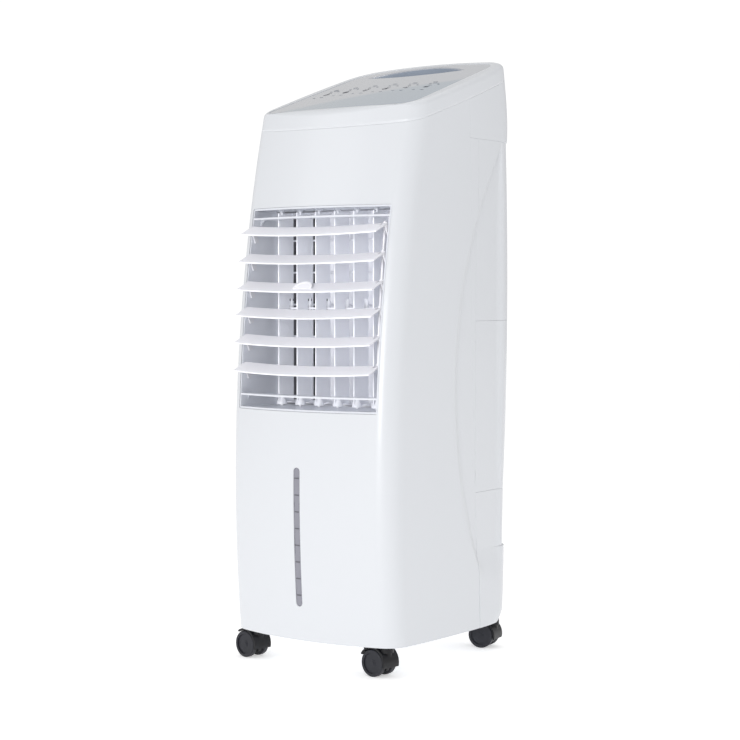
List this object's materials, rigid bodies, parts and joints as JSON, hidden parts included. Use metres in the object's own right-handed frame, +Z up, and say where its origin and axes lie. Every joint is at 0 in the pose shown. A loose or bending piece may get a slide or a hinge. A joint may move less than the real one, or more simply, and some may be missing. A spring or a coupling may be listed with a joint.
{
  "type": "evaporative cooler",
  "caption": "Upright evaporative air cooler on castors with tilting louver blades, swinging fins, blower, wet pad and a pull-out water tank.",
  "frame": {"origin": "on the floor under the middle of the cooler's overall outline, castors and stored cord included", "axes": "+Z up, +X to the right seen from the front, the air outlet faces -Y"},
  "size_m": [0.2828, 0.3471, 0.8222],
  "materials": {
    "white_shell": "satin",
    "white_vane": "satin",
    "grey_fin": "satin",
    "panel_grey": "gloss",
    "mark_dark": "matte",
    "window_smoke": "gloss",
    "tank_clear": "gloss",
    "board_green": "matte",
    "dark_plastic": "matte",
    "castor_black": "matte",
    "wheel_grey": "matte",
    "steel": "satin",
    "bronze": "satin",
    "motor_can": "satin",
    "pad_paper": "matte",
    "frame_plastic": "matte",
    "hose_rubber": "satin",
    "net_grey": "matte"
  },
  "bodies": {
    "housing": {"front_housing": "white_shell", "level_window": "window_smoke", "level_marks": "mark_dark", "base_pan": "white_shell", "rear_housing": "white_shell", "top_cover": "white_shell", "control_panel": "panel_grey", "key_marks": "mark_dark", "control_board": "board_green", "louver_frame": "white_shell", "swing_motor": "dark_plastic", "outlet_guard": "grey_fin", "blower_casing": "grey_fin", "blower_lid": "grey_fin", "wheel_bearing": "bronze", "fan_motor": "motor_can", "cooling_pad": "pad_paper", "pad_frame": "frame_plastic", "drip_tray": "frame_plastic", "pump_hose": "hose_rubber", "water_pump": "dark_plastic", "pump_bracket": "dark_plastic", "castor_stems": "steel", "cord_hooks": "white_shell", "power_cord": "dark_plastic", "mains_plug": "dark_plastic", "housing_screws": "steel"},
    "louver_blade_3": {"louver_blade_3": "white_vane"},
    "louver_blade_1": {"louver_blade_1": "white_vane"},
    "louver_blade_2": {"louver_blade_2": "white_vane"},
    "louver_blade_4": {"louver_blade_4": "white_vane"},
    "louver_blade_5": {"louver_blade_5": "white_vane"},
    "louver_blade_6": {"louver_blade_6": "white_vane"},
    "louver_link": {"louver_link": "white_vane"},
    "swing_fin_4": {"swing_fin_4": "grey_fin"},
    "swing_fin_1": {"swing_fin_1": "grey_fin"},
    "swing_fin_2": {"swing_fin_2": "grey_fin"},
    "swing_fin_3": {"swing_fin_3": "grey_fin"},
    "swing_fin_5": {"swing_fin_5": "grey_fin"},
    "swing_fin_6": {"swing_fin_6": "grey_fin"},
    "fin_link": {"fin_link": "grey_fin"},
    "blower_wheel": {"crossflow_wheel": "dark_plastic", "motor_shaft": "steel"},
    "tank": {"water_tank": "tank_clear", "tank_face": "white_shell"},
    "latch": {"tank_latch": "white_shell"},
    "upper_cover": {"upper_filter_cover": "white_shell", "dust_filter_upper": "net_grey"},
    "lower_cover": {"lower_filter_cover": "white_shell", "dust_filter_lower": "net_grey"},
    "castor_front_left": {"castor_hood_front_left": "castor_black"},
    "wheels_front_left": {"castor_wheels_front_left": "wheel_grey"},
    "castor_front_right": {"castor_hood_front_right": "castor_black"},
    "wheels_front_right": {"castor_wheels_front_right": "wheel_grey"},
    "brake_front_right": {"brake_lever_front_right": "castor_black"},
    "castor_rear_left": {"castor_hood_rear_left": "castor_black"},
    "wheels_rear_left": {"castor_wheels_rear_left": "wheel_grey"},
    "castor_rear_right": {"castor_hood_rear_right": "castor_black"},
    "wheels_rear_right": {"castor_wheels_rear_right": "wheel_grey"},
    "brake_rear_right": {"brake_lever_rear_right": "castor_black"}
  },
  "joints": [
    {"name": "blade_3_tilt", "type": "hinge", "parent": "housing", "child": "louver_blade_3", "pos_m": [0.00267, -0.12546, 0.494], "axis": [1, 0, 0], "range_deg": [-30, 20]},
    {"name": "blade_1_tilt", "type": "hinge", "parent": "housing", "child": "louver_blade_1", "pos_m": [0.00267, -0.11746, 0.568], "axis": [1, 0, 0], "range_deg": [-30, 20]},
    {"name": "blade_2_tilt", "type": "hinge", "parent": "housing", "child": "louver_blade_2", "pos_m": [0.00267, -0.12176, 0.531], "axis": [1, 0, 0], "range_deg": [-30, 20]},
    {"name": "blade_4_tilt", "type": "hinge", "parent": "housing", "child": "louver_blade_4", "pos_m": [0.00267, -0.12846, 0.4595], "axis": [1, 0, 0], "range_deg": [-30, 20]},
    {"name": "blade_5_tilt", "type": "hinge", "parent": "housing", "child": "louver_blade_5", "pos_m": [0.00267, -0.13096, 0.423], "axis": [1, 0, 0], "range_deg": [-30, 20]},
    {"name": "blade_6_tilt", "type": "hinge", "parent": "housing", "child": "louver_blade_6", "pos_m": [0.00267, -0.13276, 0.3855], "axis": [1, 0, 0], "range_deg": [-30, 20]},
    {"name": "louver_link_pin", "type": "hinge", "parent": "louver_blade_3", "child": "louver_link", "pos_m": [0.11027, -0.12996, 0.5137], "axis": [1, 0, 0], "range_deg": [-20, 30]},
    {"name": "fin_4_swing", "type": "hinge", "parent": "housing", "child": "swing_fin_4", "pos_m": [0.01867, -0.10416, 0.478], "axis": [0, 0, 1], "range_deg": [-38, 38]},
    {"name": "fin_1_swing", "type": "hinge", "parent": "housing", "child": "swing_fin_1", "pos_m": [-0.07733, -0.10416, 0.478], "axis": [0, 0, 1], "range_deg": [-38, 38]},
    {"name": "fin_2_swing", "type": "hinge", "parent": "housing", "child": "swing_fin_2", "pos_m": [-0.04533, -0.10416, 0.478], "axis": [0, 0, 1], "range_deg": [-38, 38]},
    {"name": "fin_3_swing", "type": "hinge", "parent": "housing", "child": "swing_fin_3", "pos_m": [-0.01333, -0.10416, 0.478], "axis": [0, 0, 1], "range_deg": [-38, 38]},
    {"name": "fin_5_swing", "type": "hinge", "parent": "housing", "child": "swing_fin_5", "pos_m": [0.05067, -0.10416, 0.478], "axis": [0, 0, 1], "range_deg": [-38, 38]},
    {"name": "fin_6_swing", "type": "hinge", "parent": "housing", "child": "swing_fin_6", "pos_m": [0.08267, -0.10416, 0.478], "axis": [0, 0, 1], "range_deg": [-38, 38]},
    {"name": "fin_link_pin", "type": "hinge", "parent": "swing_fin_4", "child": "fin_link", "pos_m": [0.01867, -0.08296, 0.477], "axis": [0, 0, 1], "range_deg": [-38, 38]},
    {"name": "blower_spin", "type": "hinge", "parent": "housing", "child": "blower_wheel", "pos_m": [-0.05733, 0.00984, 0.478], "axis": [0, 0, 1], "continuous": true},
    {"name": "tank_slide", "type": "slide", "parent": "housing", "child": "tank", "axis": [0, 1, 0], "range_m": [0, 0.09]},
    {"name": "latch_turn", "type": "hinge", "parent": "tank", "child": "latch", "pos_m": [0.00267, 0.14684, 0.207], "axis": [0, 1, 0], "range_deg": [-90, 0]},
    {"name": "upper_cover_slide", "type": "slide", "parent": "housing", "child": "upper_cover", "axis": [0, 1, 0], "range_m": [0, 0.06]},
    {"name": "lower_cover_slide", "type": "slide", "parent": "housing", "child": "lower_cover", "axis": [0, 1, 0], "range_m": [0, 0.06]},
    {"name": "front_left_swivel", "type": "hinge", "parent": "housing", "child": "castor_front_left", "pos_m": [-0.10603, -0.11966, 0.03], "axis": [0, 0, 1], "continuous": true},
    {"name": "front_left_roll", "type": "hinge", "parent": "castor_front_left", "child": "wheels_front_left", "pos_m": [-0.11993, -0.11795, 0.018], "axis": [0.1219, 0.9925, 0], "continuous": true},
    {"name": "front_right_swivel", "type": "hinge", "parent": "housing", "child": "castor_front_right", "pos_m": [0.11137, -0.11966, 0.03], "axis": [0, 0, 1], "continuous": true},
    {"name": "front_right_roll", "type": "hinge", "parent": "castor_front_right", "child": "wheels_front_right", "pos_m": [0.0974, -0.11868, 0.018], "axis": [0.0698, 0.9976, 0], "continuous": true},
    {"name": "front_right_brake", "type": "hinge", "parent": "castor_front_right", "child": "brake_front_right", "pos_m": [0.07945, -0.11743, 0.0356], "axis": [0.0698, 0.9976, 0], "range_deg": [-14, 0]},
    {"name": "rear_left_swivel", "type": "hinge", "parent": "housing", "child": "castor_rear_left", "pos_m": [-0.10603, 0.13224, 0.03], "axis": [0, 0, 1], "continuous": true},
    {"name": "rear_left_roll", "type": "hinge", "parent": "castor_rear_left", "child": "wheels_rear_left", "pos_m": [-0.11989, 0.13029, 0.018], "axis": [-0.1392, 0.9903, 0], "continuous": true},
    {"name": "rear_right_swivel", "type": "hinge", "parent": "housing", "child": "castor_rear_right", "pos_m": [0.11137, 0.13224, 0.03], "axis": [0, 0, 1], "continuous": true},
    {"name": "rear_right_roll", "type": "hinge", "parent": "castor_rear_right", "child": "wheels_rear_right", "pos_m": [0.09763, 0.12957, 0.018], "axis": [-0.1908, 0.9816, 0], "continuous": true},
    {"name": "rear_right_brake", "type": "hinge", "parent": "castor_rear_right", "child": "brake_rear_right", "pos_m": [0.07996, 0.12613, 0.0356], "axis": [-0.1908, 0.9816, 0], "range_deg": [-14, 0]}
  ],
  "couplings": [
    {"joint": "blade_1_tilt", "follows": "blade_3_tilt", "ratio": 1},
    {"joint": "blade_2_tilt", "follows": "blade_3_tilt", "ratio": 1},
    {"joint": "blade_4_tilt", "follows": "blade_3_tilt", "ratio": 1},
    {"joint": "blade_5_tilt", "follows": "blade_3_tilt", "ratio": 1},
    {"joint": "blade_6_tilt", "follows": "blade_3_tilt", "ratio": 1},
    {"joint": "louver_link_pin", "follows": "blade_3_tilt", "ratio": -1},
    {"joint": "fin_1_swing", "follows": "fin_4_swing", "ratio": 1},
    {"joint": "fin_2_swing", "follows": "fin_4_swing", "ratio": 1},
    {"joint": "fin_3_swing", "follows": "fin_4_swing", "ratio": 1},
    {"joint": "fin_5_swing", "follows": "fin_4_swing", "ratio": 1},
    {"joint": "fin_6_swing", "follows": "fin_4_swing", "ratio": 1},
    {"joint": "fin_link_pin", "follows": "fin_4_swing", "ratio": -1}
  ]
}
